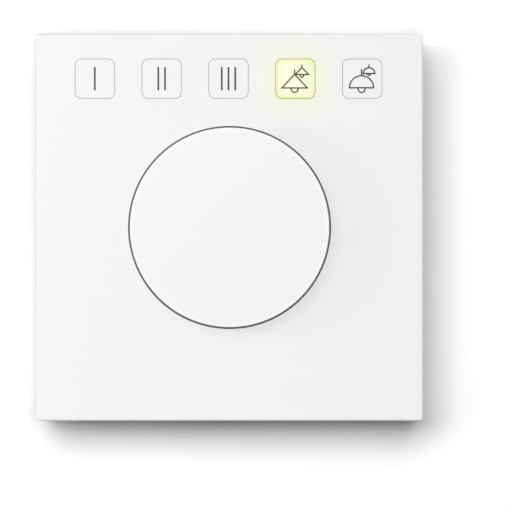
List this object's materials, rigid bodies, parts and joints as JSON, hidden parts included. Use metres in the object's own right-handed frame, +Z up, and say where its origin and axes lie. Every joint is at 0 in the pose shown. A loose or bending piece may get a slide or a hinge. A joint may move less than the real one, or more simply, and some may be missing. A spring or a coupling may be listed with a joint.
{
  "type": "rotary touch controller",
  "caption": "Square glass wall controller with a row of touch fields and a central rotary dial that also pushes, on a steel bracket for a wall box.",
  "frame": {"origin": "centre of the wall bracket's back face, on the wall's surface behind the dial's axis", "axes": "+Z up the wall, +X to the right seen from the front, +Y into the wall; the glass front faces -Y"},
  "size_m": [0.086, 0.0295, 0.086],
  "materials": {
    "glass_white": "back-painted white glass, satin",
    "tape_grey": "acrylic foam tape",
    "foil_clear": "printed polyester foil",
    "frame_white": "moulded white, fine texture",
    "guide_clear": "clear light guide with diffusing face",
    "guide_lit": "clear light guide, lit yellow-green",
    "reflector_white": "moulded white",
    "led_white": "light package",
    "board_green": "circuit board with solder mask",
    "chip_black": "moulded chip package",
    "part_tan": "ceramic small parts",
    "connector_ivory": "moulded connector",
    "header_black": "moulded header",
    "can_silver": "capacitor can",
    "ferrite": "sintered ferrite",
    "switch_black": "moulded switch body",
    "plunger_white": "moulded plunger",
    "tray_grey": "moulded grey, fine texture",
    "screw_steel": "zinc-plated steel",
    "terminal_grey": "moulded light grey",
    "bracket_steel": "galvanised sheet steel",
    "dial_anodised": "turned, dark grey anodised",
    "inlay_white": "white lacquered disc, satin",
    "spindle_steel": "ground steel",
    "bush_bronze": "sintered bronze",
    "washer_nylon": "nylon",
    "wheel_acetal": "moulded acetal",
    "spring_steel": "spring steel"
  },
  "bodies": {
    "housing": {"front_glass": "glass_white", "glass_tape": "tape_grey", "touch_foil": "foil_clear", "cover_frame": "frame_white", "reflector_block": "reflector_white", "field_leds": "led_white", "main_board": "board_green", "controller_chip": "chip_black", "touch_chip": "chip_black", "board_parts": "part_tan", "foil_connector": "connector_ivory", "board_header": "header_black", "supply_board": "board_green", "supply_chip": "chip_black", "hall_sensor": "chip_black", "filter_capacitor": "can_silver", "choke": "ferrite", "push_switch": "switch_black", "base_tray": "tray_grey", "housing_screws": "screw_steel", "supply_screws": "screw_steel", "bus_terminal": "terminal_grey", "terminal_screws": "screw_steel", "wall_bracket": "bracket_steel", "spindle_bush": "bush_bronze", "detent_spring": "spring_steel", "light_guide_1": "guide_clear", "light_guide_2": "guide_clear", "light_guide_3": "guide_clear", "light_guide_4": "guide_lit", "light_guide_5": "guide_clear"},
    "plunger": {"switch_plunger": "plunger_white"},
    "dial": {"dial_cup": "dial_anodised", "dial_inlay": "inlay_white", "dial_screw": "screw_steel", "dial_spindle": "spindle_steel", "thrust_washer": "washer_nylon", "retaining_clip": "spring_steel", "detent_wheel": "wheel_acetal", "magnet_ring": "ferrite"}
  },
  "joints": [
    {"name": "dial_push", "type": "slide", "parent": "housing", "child": "plunger", "axis": [0, 1, 0], "range_m": [0, 0.0004], "stiffness_N_per_m": 5000, "springref_m": -0.0001},
    {"name": "dial_turn", "type": "hinge", "parent": "plunger", "child": "dial", "pos_m": [0, -0.0125, 0], "axis": [0, 1, 0], "continuous": true}
  ]
}
